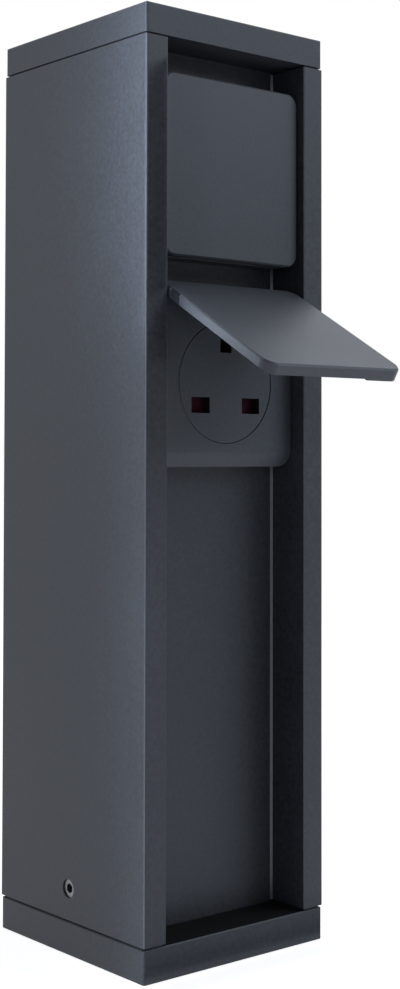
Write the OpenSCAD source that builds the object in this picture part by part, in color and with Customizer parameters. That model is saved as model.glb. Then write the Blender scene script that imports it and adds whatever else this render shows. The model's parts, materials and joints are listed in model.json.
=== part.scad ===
// Garden socket post: a hollow aluminium post with a deep front channel, two lidded
// three-pin sockets near the top, a flat cap and a base that bolts to the ground.
// Sizes are in millimetres. +Z is up and -Y is the front.
// The origin is the middle of the base's underside.

/* [Post] */
// Width of the post, side to side
post_w = 78.8; // [76:0.2:96]
// Depth of the post, front to back
post_d = 82; // [80:1:110]
// Length of the extruded post body
body_h = 290.4; // [270:0.2:400]
// Thickness of the outer walls
wall = 3; // [2.4:0.1:3.4]
// Width of each front lip beside the channel
lip_w = 9.1; // [8.2:0.1:9.6]
// Radius of the upright outer edges
edge_r = 1; // [0.4:0.1:2]
// Radius of the round screw ports in the four corners
port_r = 3.4; // [3:0.1:4]

/* [Channel] */
// Depth of the channel, from the lips to the panel's face
recess_d = 16.6; // [15.6:0.1:20]
// Thickness of the channel's side walls
leg_t = 2.2; // [1.6:0.1:2.6]
// Size of the bead in front of each long edge of the panel
bead = 0.7; // [0.4:0.1:1.2]
// Thickness of the panel
panel_t = 2; // [1.5:0.1:3]
// Thickness of the ribs behind the panel
rib_t = 2; // [1.5:0.1:3]
// Width of the ribs behind the panel
rib_w = 2.4; // [1.5:0.1:2.6]
// Running clearance of the panel in its grooves
panel_play = 0.1; // [0.05:0.01:0.2]

/* [Cap and base] */
// Thickness of the cap
cap_t = 9.8; // [8:0.1:16]
// Height of the shadow line under the cap
cap_joint = 0.7; // [0.5:0.1:1.5]
// Thickness of the base
base_t = 10.8; // [9:0.1:16]
// Height of the shadow line over the base
base_joint = 0.8; // [0.5:0.1:1.5]
// How far the cap and base sit inside the post's faces
end_inset = 0.3; // [0.1:0.1:0.8]
// Chamfer on the cap's and base's outer edges
end_chamfer = 0.4; // [0.2:0.1:1]
// How far the gaskets sit inside the post's faces
gasket_inset = 1; // [0.6:0.1:2]
// Height of the cheeks that stand up inside the post
base_cheek_h = 24; // [20:1:40]
// Height of the cheeks that hang down inside the post
cap_cheek_h = 5; // [3:1:10]
// Thickness of the cheeks
cheek_t = 5; // [4:0.5:8]
// Clearance of the cheeks inside the post
cheek_fit = 0.25; // [0.1:0.05:0.5]

/* [Fixings] */
// Height of the grub screws above the ground
set_screw_z = 22; // [20:0.5:26]
// Radius of the grub screws' thread
set_screw_r = 3; // [2.5:0.5:4]
// Length of the grub screws
set_screw_len = 7; // [6:0.5:7]
// How far the grub screws sit below the side faces
set_screw_sink = 0.6; // [0.5:0.1:2]
// Radius of the cap screws' shanks
cap_screw_r = 1.7; // [1.5:0.1:2]
// How far the cap screws reach into the post
cap_screw_reach = 12; // [8:1:16]
// Radius of the ground bolt holes
ground_hole_r = 3.5; // [3:0.25:4.5]
// Distance between the ground bolt holes, side to side
ground_pitch_x = 44; // [40:1:46]
// Distance between the ground bolt holes, front to back
ground_pitch_y = 30; // [28:1:32]

/* [Sockets] */
// Height of a socket plate and its lid
module_h = 60.2; // [58:0.2:64]
// Distance between the two sockets' middles
socket_pitch = 69; // [67:0.5:90]
// Gap between the upper socket and the top of the post body
top_margin = 9.8; // [8:0.2:30]
// Gap between a socket plate and the channel's side walls
plate_gap = 0.3; // [0.2:0.1:0.8]
// Radius of the corners of plate and lid
module_r = 4.5; // [3:0.1:6]
// Thickness of the gasket behind each plate
plate_gasket_t = 1; // [0.6:0.1:1.5]
// Thickness of the plate's face
plate_face_t = 2.2; // [1.8:0.1:2.6]
// Thickness of the plate's side walls
plate_wall = 2.4; // [2:0.1:2.6]
// Radius of the round socket face
insert_r = 20.4; // [20:0.1:21]
// How far the round face's middle lies below the plate's middle
insert_drop = 1.75; // [0:0.05:2]
// How far the live and neutral apertures lie below the plate's middle
pin_drop = 9.45; // [8.5:0.05:10]
// Distance between live and neutral
pin_pitch = 22.2; // [22:0.1:22.4]
// Height of the earth aperture over live and neutral
earth_rise = 22.2; // [22:0.1:22.4]
// Width of the live and neutral apertures
pin_slot_w = 7.8; // [7:0.1:8]
// Height of the live and neutral apertures
pin_slot_h = 5.2; // [4.6:0.1:5.4]
// Width of the earth aperture
earth_slot_w = 4.8; // [4.6:0.1:5.2]
// Height of the earth aperture
earth_slot_h = 8.6; // [8.4:0.1:9]
// Thickness of the round face
insert_t = 3.4; // [3:0.1:3.8]
// Fall of the plate's sloped top and bottom edges per millimetre of height
edge_fall = 0.35; // [0.3:0.05:0.4]

/* [Lids] */
// How far the shut lids lie behind the lips
lid_sink = 2.7; // [2:0.1:3.4]
// Gap between a lid and the channel's side walls
lid_gap = 0.6; // [0.4:0.1:1.2]
// Thickness of a lid's skin
lid_skin = 1.5; // [1.2:0.1:1.8]
// Depth of a lid's rim
lid_rim = 3.2; // [2.8:0.1:3.4]
// Thickness of a lid's rim
lid_rim_t = 1.8; // [1.4:0.1:2]
// Depth of the deeper rim along a lid's free edge
lid_lip = 3.8; // [3.6:0.1:4]
// Extra depth of the pull tab
tab_extra = 0.5; // [0.2:0.1:0.6]
// Width of the pull tab
tab_w = 15.5; // [8:0.5:20]
// Clearance between a shut lid and its plate
lid_seat_gap = 0.35; // [0.35:0.05:0.6]
// Radius of the rounding on a lid's outer edges
lid_edge = 0.6; // [0.3:0.1:0.9]
// Radius of a lid's hinge barrel
hinge_r = 1.5; // [1.4:0.05:1.6]
// Depth of the hinge line behind a lid's face
hinge_depth = 2; // [1.9:0.05:2.1]
// Radius of the hinge lugs on a plate
lug_r = 1.2; // [1.1:0.05:1.3]
// Radius of the hinge pin
hinge_pin_r = 0.6; // [0.5:0.05:0.7]
// Running clearance of the hinge
hinge_fit = 0.05; // [0.02:0.01:0.1]
// Distance of each hinge lug from the middle
lug_x = 14; // [10:0.5:18]
// Width of each hinge lug
lug_w = 4; // [3:0.5:8]
// Opening of the lower lid as it stands
lower_lid_angle = 60.5; // [0:0.5:95]

/* [Shutters] */
// Travel of a shutter
shutter_travel = 5.8; // [5.6:0.1:6]
// Thickness of a shutter
shutter_t = 2.5; // [2:0.1:2.8]
// Height of a shutter's bar
shutter_bar_h = 5.8; // [5.6:0.1:6]
// Clearance around a shutter
shutter_gap = 0.3; // [0.2:0.05:0.4]
// Wire radius of a shutter spring
spring_wire_r = 0.25; // [0.2:0.05:0.35]
// Middle radius of a shutter spring
spring_r = 1.2; // [1:0.1:1.2]

/* [Wiring] */
// Radius of the insulated wires
wire_r = 1.5; // [1.2:0.1:1.7]
// Clearance of a wire in its terminal
wire_fit = 0.08; // [0.05:0.01:0.15]
// How far the wires bow backwards between terminals
wire_bow = 8; // [4:1:14]
// Distance of the terminal block below the lower socket
terminal_drop = 30; // [20:1:60]
// Radius of the cable gland's bore
gland_bore_r = 6.5; // [5:0.5:7]
// Radius of the cable gland's thread
gland_thread_r = 10; // [9.5:0.5:11]

/* [Hidden] */
$fn = 64;

// Overshoot that keeps cuts clear of the faces they pass through
over = 1;
// Clearance between a fixed screw and its hole
screw_fit = 0.05;
// Clearance between fixed pieces that sit side by side
side_fit = 0.1;

coat = "#3b3f45";
moulded = "#34373c";
brass = "#b8973e";
steel = "#a9adb2";
rubber = "#1c1d1f";
nylon = "#2a2b2d";
cream = "#d9d4c7";
shutter_red = "#7a1a24";
live_brown = "#6b3d1e";
neutral_blue = "#2456a6";
earth_green = "#5c9a2f";

// Heights
base_top = base_t;
body_z0 = base_top + base_joint;
body_z1 = body_z0 + body_h;
cap_z0 = body_z1 + cap_joint;
cap_z1 = cap_z0 + cap_t;
upper_z = body_z1 - top_margin - module_h / 2;
lower_z = upper_z - socket_pitch;

// Plan sizes of the post
front_y = -post_d / 2;
recess_w = post_w - 2 * lip_w;
cavity_w = post_w - 2 * wall;
panel_back = recess_d + panel_t;
cavity_b = panel_back + panel_play + rib_t;
cavity_y0 = front_y + cavity_b;
cavity_y1 = post_d / 2 - wall;
cavity_mid_y = (cavity_y0 + cavity_y1) / 2;
port_bite = 0.5;
port_inset = port_r - port_bite;
port_x = cavity_w / 2 - port_inset;
port_ys = [cavity_y0 + port_inset, cavity_y1 - port_inset];
port_zone = port_inset + port_r + 2 * cheek_fit;

// Depths behind the front plane, for the sockets
plate_w = recess_w - 2 * plate_gap;
lid_w = recess_w - 2 * lid_gap;
plate_b = lid_sink + lid_rim + lid_seat_gap;
edge_drop = lid_lip + tab_extra - lid_rim;
edge_run = lid_rim_t + edge_drop / edge_fall;
plate_back_b = recess_d - plate_gasket_t;
insert_flange_b = plate_b + plate_face_t + side_fit;
insert_inner_b = plate_b + insert_t;
cup_step = 4.1;
cup_r = insert_r + cup_step;
cup_wall = 1.6;
cup_depth = 21.2;
cup_inner_r = cup_r - cup_wall;
cup_back_b = plate_b + cup_depth;
shutter_b = insert_inner_b + shutter_gap;
ramp_depth = 3.4;
block_b = shutter_b + shutter_t + ramp_depth + shutter_gap;
block_flange_t = 2;
block_back_b = cup_back_b + block_flange_t;
hinge_b = lid_sink + hinge_depth;
hinge_rise = module_h / 2 - hinge_r;
lug_gap = 0.4;
pin_reach = lid_w / 2 - module_r;
seal_margin = 3.6;
seal_band = 2.4;

// Heights of the apertures, from the plate's middle
pin_z = -pin_drop;
earth_z = earth_rise - pin_drop;
shutter_cover = 0.2;
shutter_half_w = (pin_pitch + pin_slot_w) / 2 + shutter_cover;
shutter_stem_w = 6;
boss_x = 19.4;
boss_z = 7.4;
boss_r = 2.6;
boss_screw_r = 1.1;
boss_screw_grip = 7;

// Contact clips
contact_w = 6;
contact_t = 0.8;
pin_half_t = 2.05;
earth_half_t = 2.1;
contact_margin = 1;
tail_w = 4;

// Terminals behind the sockets
tunnel_w = 7;
tunnel_h = 8;
tunnel_b = block_back_b + side_fit;
wire_b = tunnel_b + tunnel_w / 2;
wire_y = front_y + wire_b;
tunnel_r = wire_r + wire_fit;
clamp_r = 1.6;
clamp_head_r = 2.4;
clamp_head_t = 1.6;
clamp_slot = 0.8;

// Terminal block
terminal_h = 16;
terminal_z1 = lower_z - module_h / 2 - terminal_drop;
terminal_z0 = terminal_z1 - terminal_h;
terminal_mid_z = terminal_z0 + terminal_h / 2;
terminal_end = 10;
terminal_half_w = pin_pitch / 2 + terminal_end;
terminal_cover = 2;
terminal_back_b = wire_b + tunnel_w / 2 + terminal_cover;
standoff_r = 3;
standoff_h = 4;
standoff_bore = 5;
fixing_x = terminal_half_w - standoff_r;
fixing_sink = 8;
fixing_b = terminal_back_b - fixing_sink;
clamp_z = terminal_h / 4;

// Earth stud below the terminal block
stud_drop = 40;
stud_z = terminal_z0 - stud_drop;
stud_r = 2;
stud_len = 9.2;
stud_foot_t = 3.2;
lug_plate_t = 1;
lug_b = panel_back + stud_foot_t;
lug_ring_r = 4.6;
lug_barrel_r = 2.1;
lug_barrel_len = 6;
lug_overlap = 0.6;
lug_barrel_z = lug_ring_r - lug_overlap;
lug_top = stud_z + lug_barrel_z + lug_barrel_len;
lug_axis_b = lug_b + lug_plate_t / 2;

// Wires
wire_steps = 12;
wire_sides = 8;
wire_end_gap = 0.4;
wire_entry = tunnel_h / 2 - wire_end_gap;
wire_lead = 1;
wire_straight = wire_entry + wire_lead;

// Plate fixings
plate_screw_r = 1.25;
plate_head_r = 2.6;
plate_head_t = 1.8;
plate_boss_r = 2.9;
plate_screw_inset = 5.5;
plate_screw_x = lid_w / 2 - plate_screw_inset;
plate_screw_z = module_h / 2 - plate_screw_inset;
plate_screw_grip = 5;

// Cap screws
cap_head_r = 2 * cap_screw_r;
cap_head_t = cap_head_r - cap_screw_r;
cap_socket_r = 1.3;

// Cable gland in the base
gland_pocket_room = 7;
gland_pocket_r = gland_thread_r + gland_pocket_room;
ground_shift = 2;
ground_mid_y = cavity_mid_y - ground_shift;
gland_floor_t = base_t / 2;
gland_flange_t = 6;
gland_flange_z = base_top + gland_flange_t;
gland_neck = 10;
gland_top_z = gland_flange_z + gland_neck;
gland_hex_rim = 2;
gland_hex_r = (gland_thread_r + gland_hex_rim) / cos(30);
gland_clear = 2.25;
gland_y = cavity_y1 - cheek_fit - cheek_t - gland_thread_r - gland_hex_rim - gland_clear;
gland_seat_rise = 4;
gland_seat_z = gland_flange_z + gland_seat_rise;
gland_seal_wall = 2;
dome_gap = 1;
dome_z0 = gland_flange_z + dome_gap;
dome_z1 = gland_top_z + dome_gap;
dome_taper = 6;
dome_top_z = dome_z1 + dome_taper;
dome_mouth_gap = 1;
dome_mouth_rim = 1.5;
lock_t = 4;
lock_rim = 3.5;

// Outlines

module rounded_rect(w, h, r) {
    square([w - 2 * r, h], center = true);
    square([w, h - 2 * r], center = true);
    for (sx = [-1, 1], sy = [-1, 1])
        translate([sx * (w / 2 - r), sy * (h / 2 - r)])
            circle(r = r);
}

// Stands a plan drawn in X and Z up between two depths behind the front plane
module slab(b0, b1) {
    translate([0, front_y + b1, 0])
        rotate([90, 0, 0])
            linear_extrude(height = b1 - b0)
                children();
}

module rod_y(r, b0, b1) {
    translate([0, front_y + b1, 0])
        rotate([90, 0, 0])
            cylinder(r = r, h = b1 - b0);
}

module rod_x(r, x0, x1) {
    translate([x0, 0, 0])
        rotate([0, 90, 0])
            cylinder(r = r, h = x1 - x0);
}

// Block between two depths, centred on X and Z
module block(w, h, b0, b1) {
    translate([-w / 2, front_y + b0, -h / 2])
        cube([w, b1 - b0, h]);
}

// Screw with a slotted head, along Y, with its head towards the back
module slotted_screw(shank_r, head_r, head_t, slot, b0, b1) {
    difference() {
        union() {
            rod_y(shank_r, b0, b1);
            rod_y(head_r, b1, b1 + head_t);
        }
        block(2 * head_r + over, slot, b1 + head_t / 2, b1 + head_t + over);
    }
}

// Tube swept along points, with rings square to the path
function unit(v) = v / norm(v);
function heading(p, i) = unit(p[min(i + 1, len(p) - 1)] - p[max(i - 1, 0)]);
function ring(c, t, ref, r, sides) =
    let (u = unit(cross(t, ref)), w = cross(t, u))
    [for (k = [0 : sides - 1]) c + r * (cos(360 * k / sides) * u + sin(360 * k / sides) * w)];

module tube(path, r, sides, ref) {
    n = len(path);
    points = [for (i = [0 : n - 1]) each ring(path[i], heading(path, i), ref, r, sides)];
    walls = [
        for (i = [0 : n - 2], k = [0 : sides - 1])
            let (a = i * sides + k, b = i * sides + (k + 1) % sides)
            each [[a, a + sides, b + sides], [a, b + sides, b]]
    ];
    start = [for (k = [1 : sides - 2]) [0, k, k + 1]];
    last = (n - 1) * sides;
    end = [for (k = [1 : sides - 2]) [last, last + k + 1, last + k]];
    polyhedron(points = points, faces = concat(walls, start, end));
}

// Post

module port_places() {
    for (sx = [-1, 1], y = port_ys)
        translate([sx * port_x, y])
            children();
}

module post_profile() {
    leg_x0 = recess_w / 2 + leg_t;
    leg_x1 = cavity_w / 2;
    bead_b = recess_d - panel_play;
    difference() {
        union() {
            difference() {
                rounded_rect(post_w, post_d, edge_r);
                translate([-recess_w / 2, front_y - over])
                    square([recess_w, cavity_b + 2 * over]);
                translate([-cavity_w / 2, cavity_y0])
                    square([cavity_w, cavity_y1 - cavity_y0]);
                for (s = [-1, 1])
                    translate([s > 0 ? leg_x0 : -leg_x1, front_y + wall])
                        square([leg_x1 - leg_x0, cavity_b - wall - rib_t]);
            }
            for (side = [0, 1])
                mirror([side, 0, 0]) {
                    translate([recess_w / 2, front_y + bead_b])
                        polygon([[0, -bead], [leg_t / 2, -bead], [leg_t / 2, 0], [-bead, 0]]);
                    translate([recess_w / 2 - rib_w, cavity_y0 - rib_t])
                        square([rib_w + leg_t, rib_t]);
                }
            port_places()
                circle(r = port_r);
        }
        port_places()
            circle(r = cap_screw_r + screw_fit);
    }
}

module post_body() {
    color(coat)
        difference() {
            translate([0, 0, body_z0])
                linear_extrude(height = body_h)
                    post_profile();
            translate([0, 0, set_screw_z])
                rod_x(set_screw_r + side_fit, -post_w, post_w);
        }
}

// Slides down the grooves behind the beads and carries both sockets
module front_panel() {
    panel_w = recess_w - 2 * panel_play;
    panel_h = cap_z0 - base_top - 2 * panel_play;
    color(coat)
        difference() {
            union() {
                translate([-panel_w / 2, front_y + recess_d, base_top + panel_play])
                    cube([panel_w, panel_t, panel_h]);
                block_fixing_places()
                    rod_y(standoff_r, recess_d + panel_t / 2, panel_back + standoff_h);
            }
            for (z = [upper_z, lower_z])
                translate([0, 0, z]) {
                    translate([0, 0, -insert_drop])
                        rod_y(cup_r + side_fit, recess_d - over, panel_back + over);
                    plate_screw_places()
                        rod_y(plate_screw_r + screw_fit, recess_d - over, panel_back + over);
                }
            block_fixing_places()
                rod_y(plate_screw_r + screw_fit, panel_back + standoff_h - standoff_bore,
                    panel_back + standoff_h + over);
        }
}

// Cap and base

module end_plate(z0, t) {
    w = post_w - 2 * end_inset;
    d = post_d - 2 * end_inset;
    translate([0, 0, z0])
        linear_extrude(height = t)
            rounded_rect(w, d, edge_r);
}

// Takes a chamfer off the four outer edges at height z
module end_chamfers(z) {
    w = post_w - 2 * end_inset;
    d = post_d - 2 * end_inset;
    side = end_chamfer * sqrt(2);
    for (s = [-1, 1]) {
        translate([s * w / 2, 0, z])
            rotate([0, 45, 0])
                cube([side, post_d + over, side], center = true);
        translate([0, s * d / 2, z])
            rotate([45, 0, 0])
                cube([post_w + over, side, side], center = true);
    }
}

// Cheeks that stand inside the post, clear of its screw ports
module cheeks(z0, h) {
    side_y0 = cavity_y0 + port_zone;
    side_y1 = cavity_y1 - port_zone;
    end_w = cavity_w - 2 * port_zone;
    for (s = [-1, 1])
        translate([s * (cavity_w / 2 - cheek_fit - cheek_t / 2) - cheek_t / 2, side_y0, z0])
            cube([cheek_t, side_y1 - side_y0, h]);
    for (y = [cavity_y0 + cheek_fit, cavity_y1 - cheek_fit - cheek_t])
        translate([-end_w / 2, y, z0])
            cube([end_w, cheek_t, h]);
}

module joint_gasket(z0, t) {
    translate([0, 0, z0])
        linear_extrude(height = t)
            difference() {
                rounded_rect(post_w - 2 * gasket_inset, post_d - 2 * gasket_inset, edge_r);
                translate([-recess_w / 2 - gasket_inset, front_y - over])
                    square([recess_w + 2 * gasket_inset, cavity_b + over]);
                translate([-cavity_w / 2 + port_zone - cheek_fit, cavity_y0 - over])
                    square([cavity_w - 2 * port_zone + 2 * cheek_fit, cavity_y1 - cavity_y0 + over]);
                translate([-cavity_w / 2, cavity_y0 + port_zone - cheek_fit])
                    square([cavity_w, cavity_y1 - cavity_y0 - 2 * port_zone + 2 * cheek_fit]);
                port_places()
                    circle(r = cap_screw_r + cheek_fit);
            }
}

module top_cap() {
    color(coat)
        difference() {
            union() {
                end_plate(cap_z0, cap_t);
                cheeks(cap_z0 - cap_joint - cap_cheek_h, cap_cheek_h + cap_joint);
            }
            end_chamfers(cap_z1);
            port_places() {
                translate([0, 0, cap_z0 - over])
                    cylinder(r = cap_screw_r + side_fit, h = cap_t + 2 * over);
                translate([0, 0, cap_z1 - cap_head_t - side_fit])
                    cylinder(r1 = cap_screw_r + side_fit, r2 = cap_head_r + side_fit, h = cap_head_t);
                translate([0, 0, cap_z1 - side_fit])
                    cylinder(r = cap_head_r + side_fit, h = over);
            }
        }
}

module cap_gasket() {
    color(rubber)
        joint_gasket(body_z1, cap_joint);
}

module cap_screws() {
    head_z0 = cap_z1 - cap_head_t - side_fit;
    color(steel)
        port_places()
            difference() {
                union() {
                    translate([0, 0, body_z1 - cap_screw_reach])
                        cylinder(r = cap_screw_r, h = head_z0 - body_z1 + cap_screw_reach);
                    translate([0, 0, head_z0])
                        cylinder(r1 = cap_screw_r, r2 = cap_head_r, h = cap_head_t);
                }
                translate([0, 0, cap_z1 - cap_head_t])
                    cylinder(r = cap_socket_r, h = cap_head_t + over, $fn = 6);
            }
}

module base_foot() {
    color(coat)
        difference() {
            end_plate(0, base_t);
            end_chamfers(base_top);
            for (sx = [-1, 1], sy = [-1, 1])
                translate([sx * ground_pitch_x / 2, ground_mid_y + sy * ground_pitch_y / 2, -over])
                    cylinder(r = ground_hole_r, h = base_t + 2 * over);
            translate([0, gland_y, -over]) {
                cylinder(r = gland_thread_r + side_fit, h = base_t + 2 * over);
                cylinder(r = gland_pocket_r, h = base_t - gland_floor_t + over);
            }
        }
}

// Cheeks welded to the base, which locate the post and take its grub screws
module base_cheeks() {
    color(coat)
        difference() {
            cheeks(base_top, base_cheek_h);
            translate([0, 0, set_screw_z])
                rod_x(set_screw_r + screw_fit, -post_w, post_w);
        }
}

module base_gasket() {
    color(rubber)
        joint_gasket(base_top, base_joint);
}

module base_set_screws() {
    hex_r = set_screw_r / 2 / cos(30);
    hex_depth = set_screw_r;
    face_x = post_w / 2 - set_screw_sink;
    color(steel)
        for (s = [0, 180])
            rotate([0, 0, s])
                translate([0, 0, set_screw_z])
                    difference() {
                        rod_x(set_screw_r, face_x - set_screw_len, face_x);
                        translate([face_x - hex_depth, 0, 0])
                            rotate([0, 90, 0])
                                cylinder(r = hex_r, h = hex_depth + over, $fn = 6);
                    }
}

// Sockets

module at_upper() {
    translate([0, 0, upper_z])
        children();
}

module at_lower() {
    translate([0, 0, lower_z])
        children();
}

module plate_screw_places() {
    for (sx = [-1, 1], sz = [-1, 1])
        translate([sx * plate_screw_x, 0, sz * plate_screw_z])
            children();
}

module inset_outline(w, inset) {
    rounded_rect(w - 2 * inset, module_h - 2 * inset, module_r - inset);
}

// Eye of the hinge, joined to the plate's face by a web that stays low so that the lid's top passes it
module hinge_lug() {
    rod_x(lug_r, -lug_w / 2, lug_w / 2);
    translate([-lug_w / 2, 0, -lug_r])
        cube([lug_w, plate_b - hinge_b + plate_face_t - lug_gap, lug_r + lug_r / 3]);
}

module hinge_places() {
    for (s = [-1, 1])
        translate([s * lug_x, front_y + hinge_b, hinge_rise])
            children();
}

// Cuts that slope the plate's top and bottom edges back, clear of the lid's hinge and pull tab
module edge_slopes() {
    edge_z = module_h / 2;
    start_z = edge_z - edge_run;
    for (side = [0, 1])
        mirror([0, 0, side])
            translate([-plate_w, front_y + plate_b, 0])
                rotate([90, 0, 90])
                    linear_extrude(height = 2 * plate_w)
                        polygon([
                            [-over, start_z - over / edge_fall],
                            [edge_fall * (edge_run + over), edge_z + over],
                            [-over, edge_z + over]
                        ]);
}

module socket_plate() {
    color(moulded)
        difference() {
            union() {
                difference() {
                    slab(plate_b, plate_back_b)
                        inset_outline(plate_w, 0);
                    slab(plate_b + plate_face_t, plate_back_b + over)
                        inset_outline(plate_w, plate_wall);
                    edge_slopes();
                }
                plate_screw_places()
                    rod_y(plate_boss_r, plate_b + plate_face_t / 2, plate_back_b);
                hinge_places()
                    hinge_lug();
            }
            translate([0, 0, -insert_drop])
                rod_y(insert_r + side_fit, plate_b - over, plate_b + plate_face_t + over);
            translate([0, 0, -insert_drop])
                rod_y(cup_r + side_fit, plate_b + plate_face_t, plate_back_b + over);
            plate_screw_places()
                rod_y(plate_screw_r + screw_fit, plate_back_b - plate_screw_grip, plate_back_b + over);
            translate([0, front_y + hinge_b, hinge_rise])
                rod_x(hinge_pin_r + hinge_fit, -plate_w, plate_w);
        }
}

module aperture(w, h, x, z) {
    translate([x, 0, z])
        block(w, h, plate_b - over, insert_inner_b + over);
}

module boss_places() {
    for (s = [-1, 1])
        translate([s * boss_x, 0, boss_z])
            children();
}

// Round face with its cup, held against the back of the plate's face
module socket_front() {
    guide_x = shutter_stem_w / 2 + shutter_gap;
    guide_w = 1.5;
    guide_z0 = pin_z + shutter_bar_h / 2 + shutter_gap;
    guide_h = 9;
    color(moulded)
        difference() {
            union() {
                translate([0, 0, -insert_drop])
                    difference() {
                        union() {
                            rod_y(insert_r, plate_b, insert_inner_b);
                            rod_y(cup_r, insert_flange_b, cup_back_b);
                        }
                        rod_y(cup_inner_r, insert_inner_b, cup_back_b + over);
                    }
                translate([0, 0, -insert_drop])
                    boss_places()
                        rod_y(boss_r, insert_inner_b - side_fit, cup_back_b);
                for (s = [-1, 1])
                    translate([s * (guide_x + guide_w / 2), 0, guide_z0 + guide_h / 2])
                        block(guide_w, guide_h, insert_inner_b - side_fit, shutter_b + shutter_t);
            }
            for (s = [-1, 1])
                aperture(pin_slot_w, pin_slot_h, s * pin_pitch / 2, pin_z);
            aperture(earth_slot_w, earth_slot_h, 0, earth_z);
            translate([0, 0, -insert_drop])
                boss_places()
                    rod_y(boss_screw_r + screw_fit, cup_back_b - boss_screw_grip - over, cup_back_b + over);
        }
}

module plate_gasket() {
    color(rubber)
        difference() {
            slab(plate_back_b, recess_d)
                difference() {
                    inset_outline(plate_w, plate_wall / 2);
                    translate([0, -insert_drop])
                        circle(r = cup_r + 2 * side_fit);
                }
            plate_screw_places()
                rod_y(plate_screw_r + side_fit, plate_back_b - over, recess_d + over);
        }
}

module plate_screws() {
    color(steel)
        plate_screw_places()
            slotted_screw(plate_screw_r, plate_head_r, plate_head_t, clamp_slot,
                plate_back_b - plate_screw_grip + side_fit, panel_back);
}

module lid() {
    notch_w = lug_w + 2 * lug_gap;
    color(moulded)
        difference() {
            union() {
                difference() {
                    hull() {
                        slab(lid_sink, lid_sink + lid_edge)
                            inset_outline(lid_w, lid_edge);
                        slab(lid_sink + lid_edge, lid_sink + lid_rim)
                            inset_outline(lid_w, 0);
                    }
                    slab(lid_sink + lid_skin, lid_sink + lid_rim + over)
                        inset_outline(lid_w, lid_rim_t);
                }
                translate([0, front_y + hinge_b, hinge_rise])
                    rod_x(hinge_r, -pin_reach, pin_reach);
                lid_lip_bar(lid_w, lid_lip);
                lid_lip_bar(tab_w, lid_lip + tab_extra);
            }
            hinge_places() {
                rod_x(lug_r + lug_gap, -notch_w / 2, notch_w / 2);
                translate([-notch_w / 2, -lug_r, 0])
                    cube([notch_w, 2 * hinge_r + over, hinge_r + over]);
            }
            translate([0, front_y + hinge_b, hinge_rise])
                rod_x(hinge_pin_r + hinge_fit, -pin_reach - lug_gap, lid_w);
        }
}

// Deeper stretch of rim along the free edge, which runs out in the right-hand corner
module lid_lip_bar(w, depth) {
    slab(lid_sink + lid_skin, lid_sink + depth)
        intersection() {
            inset_outline(lid_w, 0);
            translate([lid_w / 2 - w, -module_h / 2])
                square([w, lid_rim_t]);
        }
}

module lid_seal() {
    w = lid_w - 2 * seal_margin;
    h = module_h - 2 * seal_margin;
    color(rubber)
        slab(lid_sink + lid_skin, plate_b - lid_seat_gap)
            difference() {
                rounded_rect(w, h, module_r);
                rounded_rect(w - 2 * seal_band, h - 2 * seal_band, module_r - seal_band);
            }
}

module hinge_pin() {
    color(steel)
        translate([0, front_y + hinge_b, hinge_rise])
            rod_x(hinge_pin_r, -pin_reach, pin_reach);
}

// Turns a lid and what it carries about its hinge
module opened(angle) {
    translate([0, front_y + hinge_b, hinge_rise])
        rotate([-angle, 0, 0])
            translate([0, -front_y - hinge_b, -hinge_rise])
                children();
}

// Slides down behind the face when an earth pin pushes on its ramp
module shutter() {
    bar_w = 2 * shutter_half_w;
    ramp_z1 = earth_z - earth_slot_h / 2;
    ramp_z0 = ramp_z1 - shutter_t;
    top_b = 0.8;
    back_b = shutter_b + shutter_t + ramp_depth;
    color(shutter_red) {
        translate([0, 0, pin_z])
            block(bar_w, shutter_bar_h, shutter_b, shutter_b + shutter_t);
        translate([0, 0, (pin_z + ramp_z1) / 2])
            block(shutter_stem_w, ramp_z1 - pin_z, shutter_b, shutter_b + shutter_t);
        translate([-shutter_stem_w / 2, front_y, 0])
            rotate([90, 0, 90])
                linear_extrude(height = shutter_stem_w)
                    polygon([
                        [shutter_b, ramp_z0],
                        [back_b, ramp_z0],
                        [back_b, ramp_z1 + shutter_travel],
                        [back_b - top_b, ramp_z1 + shutter_travel],
                        [shutter_b, ramp_z1]
                    ]);
    }
}

module shutter_spring() {
    turns = 6;
    steps = 8;
    sides = 6;
    end_gap = 0.1;
    cup_floor = sqrt(pow(cup_inner_r, 2) - pow(spring_r + spring_wire_r, 2));
    z0 = -insert_drop - cup_floor + spring_wire_r + end_gap;
    z1 = pin_z - shutter_bar_h / 2 - spring_wire_r - end_gap;
    n = turns * steps;
    path = [
        for (i = [0 : n])
            [spring_r * cos(360 * i / steps), spring_r * sin(360 * i / steps), z0 + (z1 - z0) * i / n]
    ];
    color(steel)
        translate([0, front_y + shutter_b + shutter_t / 2, 0])
            tube(path, spring_wire_r, sides, [0, 0, 1]);
}

// Contact clip with two leaves, a tail and a wire tunnel; turned says that the leaves stand upright
module contact(turned) {
    half = turned ? earth_half_t : pin_half_t;
    leaf_b0 = block_b + contact_margin;
    leaf_b1 = cup_back_b - contact_margin;
    leaves_h = 2 * (half + contact_t);
    color(brass)
        difference() {
            union() {
                rotate_plan(turned) {
                    for (s = [-1, 1])
                        translate([0, 0, s * (half + contact_t / 2)])
                            block(contact_w, contact_t, leaf_b0, leaf_b1);
                    block(contact_w, leaves_h, leaf_b1 - contact_t, leaf_b1);
                }
                block(tail_w, contact_t, leaf_b1 - contact_t, tunnel_b + contact_t);
                block(tunnel_w, tunnel_h, tunnel_b, tunnel_b + tunnel_w);
            }
            translate([0, wire_y, -tunnel_h])
                cylinder(r = tunnel_r, h = 2 * tunnel_h);
            rod_y(clamp_r + screw_fit, wire_b, tunnel_b + tunnel_w + over);
        }
}

// Turns a piece a quarter turn about the depth axis
module rotate_plan(turned) {
    rotate([0, turned ? 90 : 0, 0])
        children();
}

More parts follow.
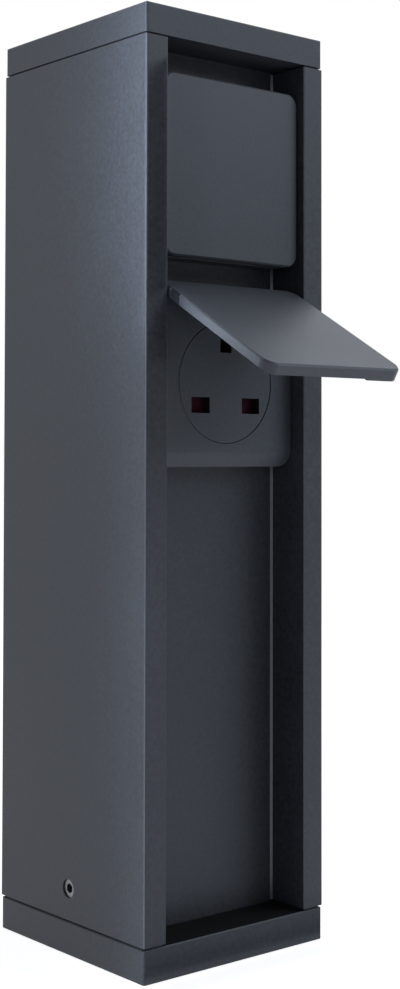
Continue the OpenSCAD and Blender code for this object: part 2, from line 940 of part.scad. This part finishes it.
module contact_pocket(turned) {
    half = (turned ? earth_half_t : pin_half_t) + contact_t + side_fit;
    rotate_plan(turned)
        block(contact_w + 2 * side_fit, 2 * half, block_b - over, cup_back_b - contact_margin + side_fit);
    block(tail_w + 2 * side_fit, contact_t + 2 * side_fit, cup_back_b - 2 * contact_margin,
        block_back_b + over);
}

module contact_block() {
    color(cream)
        difference() {
            translate([0, 0, -insert_drop]) {
                difference() {
                    rod_y(cup_inner_r - side_fit, block_b, cup_back_b);
                    boss_places()
                        rod_y(boss_r + side_fit, block_b - over, cup_back_b);
                }
                rod_y(cup_r, cup_back_b, block_back_b);
            }
            for (s = [-1, 1])
                translate([s * pin_pitch / 2, 0, pin_z])
                    contact_pocket(false);
            translate([0, 0, earth_z])
                contact_pocket(true);
            translate([0, 0, -insert_drop])
                boss_places()
                    rod_y(boss_screw_r + side_fit, cup_back_b - over, block_back_b + over);
        }
}

module block_screws() {
    color(steel)
        translate([0, 0, -insert_drop])
            boss_places()
                slotted_screw(boss_screw_r, 2 * boss_screw_r, boss_screw_r, clamp_slot,
                    cup_back_b - boss_screw_grip, block_back_b);
}

module terminal_screw() {
    slotted_screw(clamp_r, clamp_head_r, clamp_head_t, clamp_slot, wire_b + tunnel_r, tunnel_b + tunnel_w);
}

module live_contact() {
    translate([pin_pitch / 2, 0, pin_z])
        contact(false);
}

module neutral_contact() {
    translate([-pin_pitch / 2, 0, pin_z])
        contact(false);
}

module earth_contact() {
    translate([0, 0, earth_z])
        contact(true);
}

module terminal_screws() {
    color(steel) {
        for (s = [-1, 1])
            translate([s * pin_pitch / 2, 0, pin_z])
                terminal_screw();
        translate([0, 0, earth_z])
            terminal_screw();
    }
}

// Supply terminals on the back of the panel

module terminal_places() {
    for (s = [-1 : 1])
        translate([s * pin_pitch / 2, 0, terminal_mid_z])
            children();
}

module block_fixing_places() {
    for (s = [-1, 1])
        translate([s * fixing_x, 0, terminal_mid_z])
            children();
}

module terminal_block() {
    color(cream)
        difference() {
            translate([0, 0, terminal_mid_z])
                block(2 * terminal_half_w, terminal_h, panel_back + standoff_h, terminal_back_b);
            terminal_places() {
                block(tunnel_w + 2 * side_fit, terminal_h + over, wire_b - tunnel_w / 2 - side_fit,
                    wire_b + tunnel_w / 2 + side_fit);
                for (s = [-1, 1])
                    translate([0, 0, s * clamp_z])
                        rod_y(clamp_head_r + side_fit, wire_b, terminal_back_b + over);
            }
            block_fixing_places() {
                rod_y(plate_screw_r + screw_fit, panel_back - over, terminal_back_b + over);
                rod_y(plate_head_r + side_fit, fixing_b, terminal_back_b + over);
            }
        }
}

module terminal_inserts() {
    color(brass)
        terminal_places()
            difference() {
                block(tunnel_w, terminal_h, wire_b - tunnel_w / 2, wire_b + tunnel_w / 2);
                translate([0, wire_y, -terminal_h])
                    cylinder(r = tunnel_r, h = 2 * terminal_h);
                for (s = [-1, 1])
                    translate([0, 0, s * clamp_z])
                        rod_y(clamp_r + screw_fit, wire_b, wire_b + tunnel_w);
            }
}

module clamp_screws() {
    color(steel)
        terminal_places()
            for (s = [-1, 1])
                translate([0, 0, s * clamp_z])
                    slotted_screw(clamp_r, clamp_head_r, clamp_head_t, clamp_slot,
                        wire_b + tunnel_r, wire_b + tunnel_w / 2);
}

module block_fixings() {
    color(steel)
        block_fixing_places()
            slotted_screw(plate_screw_r, plate_head_r, plate_head_t, clamp_slot,
                panel_back + standoff_h - standoff_bore + side_fit, fixing_b);
}

// Internal wiring

// Path that leaves one terminal straight, bows backwards and enters the next one straight
function wire_path(x, y0, y1, z0, z1, bow) = concat(
    [[x, y0, z0]],
    [
        for (i = [0 : wire_steps])
            let (t = i / wire_steps, share = (1 - cos(180 * t)) / 2)
            [x, y0 + (y1 - y0) * share + bow * pow(sin(180 * t), 2),
                z0 + wire_straight + (z1 - z0 - 2 * wire_straight) * t]
    ],
    [[x, y1, z1]]
);

module wire(x, y0, z0, z1, bow) {
    tube(wire_path(x, y0, wire_y, z0, z1, bow), wire_r, wire_sides, [1, 0, 0]);
}

module socket_wires(x, z) {
    low = z - tunnel_h / 2 + wire_entry;
    high = z + tunnel_h / 2 - wire_entry;
    wire(x, wire_y, terminal_z1 - wire_entry, lower_z + low, wire_bow);
    wire(x, wire_y, lower_z + high, upper_z + low, wire_bow);
}

module live_wires() {
    color(live_brown)
        socket_wires(pin_pitch / 2, pin_z);
}

module neutral_wires() {
    color(neutral_blue)
        socket_wires(-pin_pitch / 2, pin_z);
}

module earth_wires() {
    color(earth_green) {
        socket_wires(0, earth_z);
        wire(0, front_y + lug_axis_b, lug_top, terminal_z0 + wire_entry, 0);
    }
}

// Stud welded to the back of the panel by its round foot
module earth_stud() {
    color(steel)
        translate([0, 0, stud_z]) {
            rod_y(stud_r, panel_back, panel_back + stud_len);
            rod_y(2 * stud_r, panel_back, lug_b);
        }
}

module earth_lug() {
    color(brass)
        translate([0, 0, stud_z])
            difference() {
                union() {
                    rod_y(lug_ring_r, lug_b, lug_b + lug_plate_t);
                    translate([0, front_y + lug_axis_b, lug_barrel_z])
                        cylinder(r = lug_barrel_r, h = lug_barrel_len);
                }
                rod_y(stud_r + screw_fit, lug_b - over, lug_b + lug_plate_t + over);
            }
}

module earth_nut() {
    nut_r = 2 * stud_r;
    nut_t = 3;
    color(steel)
        translate([0, 0, stud_z])
            difference() {
                translate([0, front_y + lug_b + lug_plate_t + nut_t, 0])
                    rotate([90, 0, 0])
                        cylinder(r = nut_r, h = nut_t, $fn = 6);
                rod_y(stud_r + screw_fit, lug_b, lug_b + lug_plate_t + nut_t + over);
            }
}

// Cable gland in the base

module at_gland() {
    translate([0, gland_y, 0])
        children();
}

module gland_body() {
    floor_z = base_t - gland_floor_t;
    color(nylon)
        at_gland()
            difference() {
                union() {
                    translate([0, 0, floor_z - lock_t])
                        cylinder(r = gland_thread_r, h = gland_top_z - floor_z + lock_t);
                    translate([0, 0, base_top])
                        cylinder(r = gland_hex_r, h = gland_flange_z - base_top, $fn = 6);
                }
                cylinder(r = gland_bore_r, h = gland_top_z + over);
                translate([0, 0, gland_seat_z])
                    cylinder(r = gland_bore_r + gland_seal_wall + screw_fit, h = gland_top_z);
            }
}

module gland_seal() {
    color(rubber)
        at_gland()
            translate([0, 0, gland_seat_z])
                difference() {
                    cylinder(r = gland_bore_r + gland_seal_wall, h = dome_z1 - gland_seat_z);
                    translate([0, 0, -over])
                        cylinder(r = gland_bore_r, h = gland_top_z);
                }
}

module gland_dome_nut() {
    mouth_r = gland_bore_r + dome_mouth_gap;
    rim_r = mouth_r + dome_mouth_rim;
    color(nylon)
        at_gland()
            difference() {
                union() {
                    translate([0, 0, dome_z0])
                        cylinder(r = gland_hex_r, h = dome_z1 - dome_z0, $fn = 6);
                    translate([0, 0, dome_z1])
                        cylinder(r1 = gland_thread_r + gland_hex_rim, r2 = rim_r, h = dome_taper);
                }
                translate([0, 0, dome_z0 - over])
                    cylinder(r = gland_thread_r + screw_fit, h = dome_z1 - dome_z0 + over);
                cylinder(r = mouth_r, h = dome_top_z + over);
            }
}

module gland_locknut() {
    color(nylon)
        at_gland()
            translate([0, 0, base_t - gland_floor_t - lock_t])
                difference() {
                    cylinder(r = (gland_thread_r + lock_rim) / cos(30), h = lock_t, $fn = 6);
                    translate([0, 0, -over])
                        cylinder(r = gland_thread_r + screw_fit, h = lock_t + 2 * over);
                }
}

post_body();
top_cap();
cap_gasket();
cap_screws();
base_foot();
base_cheeks();
base_gasket();
base_set_screws();
front_panel();
at_upper() socket_plate();  // upper_socket_plate
at_lower() socket_plate();  // lower_socket_plate
at_upper() socket_front();  // upper_socket_front
at_lower() socket_front();  // lower_socket_front
at_upper() plate_gasket();  // upper_plate_gasket
at_lower() plate_gasket();  // lower_plate_gasket
at_upper() plate_screws();  // upper_plate_screws
at_lower() plate_screws();  // lower_plate_screws
at_upper() lid();  // upper_lid
at_lower() opened(lower_lid_angle) lid();  // lower_lid
at_upper() lid_seal();  // upper_lid_seal
at_lower() opened(lower_lid_angle) lid_seal();  // lower_lid_seal
at_upper() hinge_pin();  // upper_hinge_pin
at_lower() hinge_pin();  // lower_hinge_pin
at_upper() shutter();  // upper_shutter
at_lower() shutter();  // lower_shutter
at_upper() shutter_spring();  // upper_shutter_spring
at_lower() shutter_spring();  // lower_shutter_spring
at_upper() contact_block();  // upper_contact_block
at_lower() contact_block();  // lower_contact_block
at_upper() block_screws();  // upper_block_screws
at_lower() block_screws();  // lower_block_screws
at_upper() live_contact();  // upper_live_contact
at_lower() live_contact();  // lower_live_contact
at_upper() neutral_contact();  // upper_neutral_contact
at_lower() neutral_contact();  // lower_neutral_contact
at_upper() earth_contact();  // upper_earth_contact
at_lower() earth_contact();  // lower_earth_contact
at_upper() terminal_screws();  // upper_terminal_screws
at_lower() terminal_screws();  // lower_terminal_screws
terminal_block();
terminal_inserts();
clamp_screws();
block_fixings();
live_wires();
neutral_wires();
earth_wires();
earth_stud();
earth_nut();
earth_lug();
gland_body();
gland_seal();
gland_dome_nut();
gland_locknut();
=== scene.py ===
"""Looks of the garden socket post: camera, light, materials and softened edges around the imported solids."""
import json
import math

import bmesh
import bpy
from mathutils import Matrix, Vector


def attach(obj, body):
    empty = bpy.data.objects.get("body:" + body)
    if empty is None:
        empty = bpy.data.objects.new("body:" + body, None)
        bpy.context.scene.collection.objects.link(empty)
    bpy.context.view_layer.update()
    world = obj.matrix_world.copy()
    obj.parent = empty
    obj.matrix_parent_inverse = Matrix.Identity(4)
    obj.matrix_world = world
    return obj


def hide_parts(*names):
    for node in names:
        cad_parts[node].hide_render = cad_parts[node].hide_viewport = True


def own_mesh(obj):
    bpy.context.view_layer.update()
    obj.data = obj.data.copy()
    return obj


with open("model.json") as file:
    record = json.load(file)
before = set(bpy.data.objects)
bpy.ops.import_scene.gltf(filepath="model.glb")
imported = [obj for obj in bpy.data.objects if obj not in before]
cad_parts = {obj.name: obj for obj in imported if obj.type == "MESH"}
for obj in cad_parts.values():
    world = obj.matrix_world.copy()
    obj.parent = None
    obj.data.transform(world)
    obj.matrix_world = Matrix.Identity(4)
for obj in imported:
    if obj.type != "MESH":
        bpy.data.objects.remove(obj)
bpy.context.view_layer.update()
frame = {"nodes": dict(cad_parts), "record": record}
nodes = frame["nodes"]
MM = 0.001

# Photograph's frame and the camera fitted to it
IMAGE_W, IMAGE_H = 400, 989
FOCAL_PX = 1592.1
AXIS_PX = (189.2, 407.1)
SENSOR_MM = 36.0
CAMERA_AT = (-0.3519, -0.4382, 0.1677)
CAMERA_YAW, CAMERA_PITCH, CAMERA_ROLL = 39.79, 1.63, 0.12
CLIP_START = 0.01

# Sizes repeated from the part, in millimetres
FRONT_Y = -41.0
RECESS_HALF = 30.3
BASE_TOP = 10.8
LOWER_Z, UPPER_Z = 193.1, 262.1
HINGE_B, HINGE_RISE = 4.7, 28.6
LOWER_LID_ANGLE = 60.5
PLATE_B, SLOPE_B = 6.25, 7.98
INSERT_R, INSERT_DROP = 20.4, 1.75

# Radii of the softened edges, in millimetres
LIP_ROUND, LID_ROUND, PLATE_ROUND, APERTURE_ROUND = 0.5, 0.35, 0.4, 0.2
PLATE_SEAM_ROUND, FRONT_SEAM_ROUND = 0.3, 0.45
ROUND_STEPS = 3

# Limits of the tests that pick edges and faces: angles, then millimetres, then parts of a direction
FLAT_ANGLE, SHARP_ANGLE, SMOOTH_ANGLE = (math.radians(a) for a in (0.5, 30.0, 32.0))
NEAR, PLATE_MARGIN, PLATE_CORE = 0.02, 0.05, 25.0
SEAM_BAND, BEAD_BAND, LID_FACE_BAND = 1.0, 1.0, 1.35
SLANTED, UPWARD = 0.5, 0.9
WELD_M = 1e-6

# Floor in metres; the materials' fine grain and the slow drift of their colour and gloss
FLOOR_SIZE, FLOOR_DROP, FLOOR_TONE = 8.0, 0.0003, 0.86
GRAIN_SHARE, DRIFT_SHARE = 0.6, 0.4
GRAIN_DETAIL, DRIFT_DETAIL = 2.0, 3.0
DRIFT_MM = 60.0
NOISE_LOW, NOISE_HIGH = 0.3, 0.7


# Camera, light and floor

def make_camera():
    yaw, pitch, roll = (math.radians(a) for a in (CAMERA_YAW, CAMERA_PITCH, CAMERA_ROLL))
    forward = Vector((math.sin(yaw) * math.cos(pitch), math.cos(yaw) * math.cos(pitch), math.sin(pitch)))
    right = Vector((math.cos(yaw), -math.sin(yaw), 0.0))
    up = right.cross(forward)
    right, up = (right * math.cos(roll) + up * math.sin(roll), up * math.cos(roll) - right * math.sin(roll))
    turn = Matrix((right, up, -forward)).transposed()
    data = bpy.data.cameras.new("camera")
    data.sensor_width = SENSOR_MM
    data.lens = FOCAL_PX / IMAGE_H * SENSOR_MM
    data.shift_x = ((IMAGE_W - 1) / 2 - AXIS_PX[0]) / IMAGE_H
    data.shift_y = (AXIS_PX[1] - (IMAGE_H - 1) / 2) / IMAGE_H
    data.clip_start = CLIP_START
    obj = bpy.data.objects.new("camera", data)
    bpy.context.scene.collection.objects.link(obj)
    obj.matrix_world = Matrix.Translation(CAMERA_AT) @ turn.to_4x4()
    bpy.context.scene.camera = obj


def seen_rays(tree):
    """1 for camera, glossy and transmission rays, which see the white surroundings."""
    path = tree.nodes.new("ShaderNodeLightPath")
    total = path.outputs["Is Camera Ray"]
    for name in ("Is Glossy Ray", "Is Transmission Ray"):
        add = tree.nodes.new("ShaderNodeMath")
        add.operation = "ADD"
        add.use_clamp = True
        tree.links.new(total, add.inputs[0])
        tree.links.new(path.outputs[name], add.inputs[1])
        total = add.outputs[0]
    return total


def make_world(fill):
    """White surroundings that light the object evenly, at the level that fill gives."""
    world = bpy.data.worlds.new("studio")
    bpy.context.scene.world = world
    world.use_nodes = True
    world.cycles.sampling_method = "NONE"
    tree = world.node_tree
    tree.nodes.clear()
    shaders = []
    for strength in (fill, 1.0):
        shader = tree.nodes.new("ShaderNodeBackground")
        shader.inputs["Color"].default_value = (1.0, 1.0, 1.0, 1.0)
        shader.inputs["Strength"].default_value = strength
        shaders.append(shader)
    mix = tree.nodes.new("ShaderNodeMixShader")
    out = tree.nodes.new("ShaderNodeOutputWorld")
    tree.links.new(seen_rays(tree), mix.inputs[0])
    tree.links.new(shaders[0].outputs[0], mix.inputs[1])
    tree.links.new(shaders[1].outputs[0], mix.inputs[2])
    tree.links.new(mix.outputs[0], out.inputs[0])


def sheet(name, width, height):
    """Flat rectangle, lying level about the origin."""
    mesh = bpy.data.meshes.new(name)
    w, h = width / 2, height / 2
    mesh.from_pydata([(-w, -h, 0), (w, -h, 0), (w, h, 0), (-w, h, 0)], [], [(0, 1, 2, 3)])
    obj = bpy.data.objects.new(name, mesh)
    bpy.context.scene.collection.objects.link(obj)
    return obj


def face_towards(obj, at, aim, axis):
    """Puts an object at a place, with one of its axes towards the point aim."""
    obj.location = at
    obj.rotation_mode = "QUATERNION"
    obj.rotation_quaternion = (Vector(aim) - Vector(at)).to_track_quat(axis, "Y")


def make_floor(glow):
    """Pale floor that reads white and keeps the object's soft shadow.

    Its glow is only for rays that see it, so it isn't sampled as a lamp.
    """
    floor = sheet("floor", FLOOR_SIZE, FLOOR_SIZE)
    floor.location.z = -FLOOR_DROP
    mat = bpy.data.materials.new("floor")
    mat.use_nodes = True
    mat.cycles.emission_sampling = "NONE"
    tree = mat.node_tree
    tree.nodes.clear()
    diffuse = tree.nodes.new("ShaderNodeBsdfDiffuse")
    diffuse.inputs["Color"].default_value = (FLOOR_TONE, FLOOR_TONE, FLOOR_TONE, 1.0)
    light = tree.nodes.new("ShaderNodeEmission")
    level = tree.nodes.new("ShaderNodeMath")
    level.operation = "MULTIPLY"
    level.inputs[1].default_value = glow
    add = tree.nodes.new("ShaderNodeAddShader")
    out = tree.nodes.new("ShaderNodeOutputMaterial")
    tree.links.new(seen_rays(tree), level.inputs[0])
    tree.links.new(level.outputs[0], light.inputs["Strength"])
    tree.links.new(diffuse.outputs[0], add.inputs[0])
    tree.links.new(light.outputs[0], add.inputs[1])
    tree.links.new(add.outputs[0], out.inputs[0])
    floor.data.materials.append(mat)


def dark_card(name, at, aim, width, height, shade=0.05, shadow=True):
    """Dark card that the camera doesn't see, and that the faces turned its way reflect.

    A card without shadow lets the lamps' light through.
    """
    card = sheet(name, width, height)
    face_towards(card, at, aim, "Z")
    card.visible_camera = False
    card.visible_shadow = shadow
    mat = bpy.data.materials.new(name)
    mat.use_nodes = True
    shader = mat.node_tree.nodes["Principled BSDF"]
    shader.inputs["Base Color"].default_value = (shade, shade, shade, 1.0)
    shader.inputs["Roughness"].default_value = 1.0
    shader.inputs["Specular IOR Level"].default_value = 0.0
    card.data.materials.append(mat)


def softbox(name, at, aim, width, height, watts, color=(1.0, 1.0, 1.0), spread=180.0):
    """Flat lamp that the camera doesn't see; spread is the angle of its beam in degrees."""
    data = bpy.data.lights.new(name, "AREA")
    data.color = color
    data.shape = "RECTANGLE"
    data.size, data.size_y = width, height
    data.energy = watts
    data.spread = math.radians(spread)
    lamp = bpy.data.objects.new(name, data)
    bpy.context.scene.collection.objects.link(lamp)
    face_towards(lamp, at, aim, "-Z")
    lamp.visible_camera = False


# Materials

def material(name, dark, light, rough, grain, bump, metallic=0.0, stretch=(1, 1, 1), specular=0.5,
             tint=(1.0, 1.0, 1.0)):
    """Material whose colour drifts between dark and light, with a grain that shows in gloss and relief.

    rough gives the lowest and highest roughness. grain is the size of the grain and bump its height, both in
    millimetres; stretch draws the grain out along an axis.
    """
    mat = bpy.data.materials.new(name)
    mat.use_nodes = True
    tree = mat.node_tree
    shader = tree.nodes["Principled BSDF"]
    shader.inputs["Metallic"].default_value = metallic
    shader.inputs["Specular IOR Level"].default_value = specular
    shader.inputs["Specular Tint"].default_value = (*tint, 1.0)
    coords = tree.nodes.new("ShaderNodeTexCoord")
    scale = tree.nodes.new("ShaderNodeMapping")
    scale.inputs["Scale"].default_value = stretch
    tree.links.new(coords.outputs["Object"], scale.inputs["Vector"])

    def noise(size, detail):
        tex = tree.nodes.new("ShaderNodeTexNoise")
        tex.inputs["Scale"].default_value = 1.0 / (size * MM)
        tex.inputs["Detail"].default_value = detail
        tree.links.new(scale.outputs["Vector"], tex.inputs["Vector"])
        return tex.outputs["Fac"]

    fine, slow = noise(grain, GRAIN_DETAIL), noise(DRIFT_MM, DRIFT_DETAIL)
    blend = tree.nodes.new("ShaderNodeMath")
    blend.operation = "MULTIPLY_ADD"
    blend.inputs[1].default_value = GRAIN_SHARE
    tree.links.new(fine, blend.inputs[0])
    drift = tree.nodes.new("ShaderNodeMath")
    drift.operation = "MULTIPLY"
    drift.inputs[1].default_value = DRIFT_SHARE
    tree.links.new(slow, drift.inputs[0])
    tree.links.new(drift.outputs[0], blend.inputs[2])
    ramp = tree.nodes.new("ShaderNodeValToRGB")
    ramp.color_ramp.elements[0].position = NOISE_LOW
    ramp.color_ramp.elements[0].color = (*dark, 1.0)
    ramp.color_ramp.elements[1].position = NOISE_HIGH
    ramp.color_ramp.elements[1].color = (*light, 1.0)
    tree.links.new(blend.outputs[0], ramp.inputs["Fac"])
    tree.links.new(ramp.outputs["Color"], shader.inputs["Base Color"])
    gloss = tree.nodes.new("ShaderNodeMapRange")
    gloss.inputs["From Min"].default_value = NOISE_LOW
    gloss.inputs["From Max"].default_value = NOISE_HIGH
    gloss.inputs["To Min"].default_value = rough[0]
    gloss.inputs["To Max"].default_value = rough[1]
    tree.links.new(blend.outputs[0], gloss.inputs["Value"])
    tree.links.new(gloss.outputs["Result"], shader.inputs["Roughness"])
    relief = tree.nodes.new("ShaderNodeBump")
    relief.inputs["Distance"].default_value = bump * MM
    relief.inputs["Strength"].default_value = 1.0
    tree.links.new(fine, relief.inputs["Height"])
    tree.links.new(relief.outputs["Normal"], shader.inputs["Normal"])
    return mat


COOL = (0.84, 0.89, 1.0)
MATERIALS = {
    "powder_coat": material("powder_coat", (0.010, 0.012, 0.016), (0.040, 0.045, 0.057), (0.44, 0.58),
                            1.3, 0.05, specular=0.47, tint=COOL),
    "moulded_plastic": material("moulded_plastic", (0.027, 0.031, 0.039), (0.050, 0.056, 0.069), (0.42, 0.54),
                                1.2, 0.03, specular=0.47, tint=COOL),
    "red_plastic": material("red_plastic", (0.036, 0.005, 0.014), (0.048, 0.007, 0.020), (0.5, 0.6),
                            0.4, 0.006, specular=0.1),
    "rubber": material("rubber", (0.009, 0.009, 0.010), (0.015, 0.015, 0.016), (0.68, 0.8), 0.6, 0.01),
    "steel": material("steel", (0.46, 0.47, 0.48), (0.56, 0.57, 0.58), (0.26, 0.36), 0.15, 0.004,
                      metallic=1.0, stretch=(1, 1, 0.15)),
    "brass": material("brass", (0.56, 0.39, 0.13), (0.66, 0.47, 0.18), (0.28, 0.4), 0.2, 0.003, metallic=1.0),
    "pale_plastic": material("pale_plastic", (0.58, 0.54, 0.46), (0.66, 0.62, 0.54), (0.42, 0.5), 0.5, 0.006),
    "brown_wire": material("brown_wire", (0.11, 0.038, 0.012), (0.14, 0.05, 0.018), (0.4, 0.48), 0.4, 0.004),
    "blue_wire": material("blue_wire", (0.017, 0.07, 0.29), (0.022, 0.09, 0.34), (0.4, 0.48), 0.4, 0.004),
    "green_wire": material("green_wire", (0.085, 0.25, 0.025), (0.12, 0.31, 0.035), (0.4, 0.48), 0.4, 0.004),
    "nylon": material("nylon", (0.02, 0.02, 0.022), (0.03, 0.03, 0.032), (0.42, 0.52), 0.4, 0.006),
}
# Lighter, glossier grey on the bead facets at the channel's inner corners: a painted highlight along the
# bead.
BEAD_PAINTED_HIGHLIGHT = material("bead_painted_highlight", (0.088, 0.097, 0.114), (0.111, 0.122, 0.142), (0.34, 0.42), 0.5, 0.004)
# Near-black, rough material that stands for shade: painted shade on the channel's floor and in the socket
# apertures.
PAINTED_SHADE = material("painted_shade", (0.004, 0.004, 0.005), (0.008, 0.008, 0.009), (0.7, 0.8), 0.9, 0.03,
                      specular=0.12)
BLACKED_STEEL = material("blacked_steel", (0.16, 0.165, 0.175), (0.22, 0.225, 0.235), (0.3, 0.4), 0.15, 0.004,
                         metallic=1.0)
slots = {s["node"]: s["material_slot"] for s in frame["record"]["subparts"]}
for name, obj in nodes.items():
    obj.data.materials.clear()
    obj.data.materials.append(MATERIALS[slots[name]])
nodes["base_set_screws"].data.materials[0] = BLACKED_STEEL


# Softened edges, with painted highlight and painted shade on some faces

def body_of(node):
    for body, members in frame["record"]["behaviour"]["bodies"].items():
        if node in members:
            return body
    raise KeyError(node)


def softened(node, *cuts, painted_light=None):
    """Copy of a CAD node with sharp edges rounded, which stands for the node.

    Each cut is a radius in millimetres and a test that picks edges by their middle. The keyword argument
    after the cuts is a test that picks faces by their middle and their direction, and a material of painted
    highlight or painted shade that these faces get.
    """
    mesh = bpy.data.meshes.new(node + "_soft")
    bm = bmesh.new()
    bm.from_mesh(nodes[node].data)
    bmesh.ops.remove_doubles(bm, verts=bm.verts, dist=WELD_M)
    bmesh.ops.dissolve_limit(bm, angle_limit=FLAT_ANGLE, verts=bm.verts, edges=bm.edges)
    sharp = [e for e in bm.edges if len(e.link_faces) == 2 and e.calc_face_angle(0.0) > SHARP_ANGLE]
    groups = [(radius, [e for e in sharp if pick(*(((e.verts[0].co + e.verts[1].co) / 2) / MM))])
              for radius, pick in cuts]
    for radius, edges in groups:
        bmesh.ops.bevel(bm, geom=edges, offset=radius * MM, offset_type="OFFSET", segments=ROUND_STEPS,
                        profile=0.5, affect="EDGES", clamp_overlap=True)
    for edge in bm.edges:
        edge.smooth = len(edge.link_faces) == 2 and edge.calc_face_angle(0.0) < SMOOTH_ANGLE
    for face in bm.faces:
        face.smooth = True
        # Faces that the test picks get the material of painted highlight or painted shade.
        if painted_light and painted_light[0](face.calc_center_median() / MM, face.normal):
            face.material_index = 1
    bm.to_mesh(mesh)
    bm.free()
    imported = mesh.attributes.get("custom_normal")
    if imported:
        mesh.attributes.remove(imported)
    mesh.materials.append(MATERIALS[slots[node]])
    if painted_light:
        mesh.materials.append(painted_light[1])
    piece = bpy.data.objects.new(node + "_soft", mesh)
    bpy.context.scene.collection.objects.link(piece)
    flatten = piece.modifiers.new("flatten", "WEIGHTED_NORMAL")
    flatten.keep_sharp = True
    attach(piece, body_of(node))
    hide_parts(node)


def squeezed(node):
    """Copy of a spring, which stands for the node on the spring's body."""
    piece = bpy.data.objects.new(node + "_soft", nodes[node].data.copy())
    bpy.context.scene.collection.objects.link(piece)
    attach(piece, body_of(node))
    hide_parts(node)
    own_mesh(piece)


def near(value, target):
    return abs(value - target) < NEAR


def lip_edges(x, y, z):
    return near(abs(x), RECESS_HALF) and near(y, FRONT_Y)


# Facets of the beads at the channel's inner corners, which get the painted highlight.
def bead_highlight_faces(middle, normal):
    return abs(middle.x) > RECESS_HALF - BEAD_BAND and normal.y < -SLANTED and abs(normal.x) > SLANTED


# Floor of the channel, which gets the painted shade.
def shaded_channel_floor(middle, normal):
    return near(middle.z, BASE_TOP) and normal.z > UPWARD


def from_insert(x, z, middle_z):
    """Distance from the middle of the round face of the socket at middle_z."""
    return math.hypot(x, z - middle_z + INSERT_DROP)


def plate_edges(middle_z):
    """Outer edges of a plate's face and slopes."""
    def pick(x, y, z):
        on_front = PLATE_B - PLATE_MARGIN < y - FRONT_Y < SLOPE_B + PLATE_MARGIN
        return on_front and max(abs(x), abs(z - middle_z)) > PLATE_CORE
    return pick


def seam_edges(middle_z):
    """Edges of the round seam between a plate and its insert."""
    def pick(x, y, z):
        return near(y, FRONT_Y + PLATE_B) and abs(from_insert(x, z, middle_z) - INSERT_R) < SEAM_BAND
    return pick


def aperture_edges(middle_z):
    def pick(x, y, z):
        return near(y, FRONT_Y + PLATE_B) and from_insert(x, z, middle_z) < INSERT_R - SEAM_BAND
    return pick


# Side walls of a socket's apertures, which get the painted shade.
def shaded_aperture_walls(middle_z):
    def pick(middle, normal):
        inside = from_insert(middle.x, middle.z, middle_z) < INSERT_R - SEAM_BAND
        return inside and middle.y > FRONT_Y + PLATE_B and abs(normal.y) < SLANTED
    return pick


def lid_edges(middle_z, angle):
    """Front edges of a lid that stands open by angle: they are tested where they lie when it is shut."""
    turn = Matrix.Rotation(math.radians(angle), 3, "X")
    axis = Vector((0, FRONT_Y + HINGE_B, middle_z + HINGE_RISE))

    def pick(x, y, z):
        shut = turn @ (Vector((x, y, z)) - axis) + axis
        return shut.y - FRONT_Y < HINGE_B - LID_FACE_BAND
    return pick


# The bead facets of the post get the painted highlight material.
softened("post_body", (LIP_ROUND, lip_edges), painted_light=(bead_highlight_faces, BEAD_PAINTED_HIGHLIGHT))
# The channel's floor on the base gets painted shade.
softened("base_foot", painted_light=(shaded_channel_floor, PAINTED_SHADE))
for name, middle, angle in (("upper", UPPER_Z, 0.0), ("lower", LOWER_Z, LOWER_LID_ANGLE)):
    softened(name + "_socket_plate", (PLATE_ROUND, plate_edges(middle)),
             (PLATE_SEAM_ROUND, seam_edges(middle)))
    # The aperture walls of each socket front get painted shade.
    softened(name + "_socket_front", (APERTURE_ROUND, aperture_edges(middle)),
             (FRONT_SEAM_ROUND, seam_edges(middle)), painted_light=(shaded_aperture_walls(middle), PAINTED_SHADE))
    softened(name + "_lid", (LID_ROUND, lid_edges(middle, angle)))
    squeezed(name + "_shutter_spring")


# Scene. A row gives a name, the place, the point faced, width and height, in metres, then shade or watts

SKY = (0.80, 0.90, 1.0)
make_camera()
make_world(fill=0.25)
make_floor(glow=0.78)
dark_card("dark_room", (-0.75, -0.95, 0.60), (0.0, 0.0, 0.20), 1.6, 2.2)
dark_card("dark_side", (0.64, -0.80, 0.315), (0.0, 0.0, 0.315), 0.9, 0.27)
dark_card("dark_ground", (0.01, -0.0485, 0.001), (0.01, -0.0485, 1.0), 0.10, 0.010, shadow=False)
dark_card("lip_flag", (-0.0299, -0.0510, 0.259), (-0.2, -0.0510, 0.259), 0.018, 0.074, shade=0.18)
dark_card("hinge_flag", (-0.0299, -0.0440, 0.209), (-0.2, -0.0440, 0.209), 0.004, 0.026, shadow=False)
softbox("left_strip", (-0.37, 0.27, 0.34), (-0.03, -0.02, 0.20), 0.08, 0.56, 0.25, SKY)
softbox("left_edge", (-0.057, -0.039, 0.165), (0.0, -0.039, 0.165), 0.01, 0.33, 0.032, SKY)
softbox("left_edge_top", (-0.070, -0.036, 0.287), (0.0, -0.036, 0.287), 0.01, 0.14, 0.050, SKY)
softbox("lid_side", (-0.075, -0.020, 0.220), (-0.0297, -0.068, 0.204), 0.015, 0.015, 0.0008, SKY, spread=36.0)
softbox("overhead", (0.1, -0.2, 1.3), (0.0, 0.0, 0.15), 0.9, 0.9, 1.6, SKY)
softbox("right_fill", (0.85, -0.90, 0.95), (0.0, 0.0, 0.15), 0.8, 0.8, 6.0, SKY)
softbox("camera_side", (-0.55, -0.72, 0.40), (0.0, 0.0, 0.20), 0.2, 0.3, 0.7)
softbox("back_right", (0.68, 0.38, 0.79), (0.0, -0.06, 0.20), 0.9, 0.9, 2.05, SKY)
bpy.context.scene.view_settings.view_transform = "Standard"
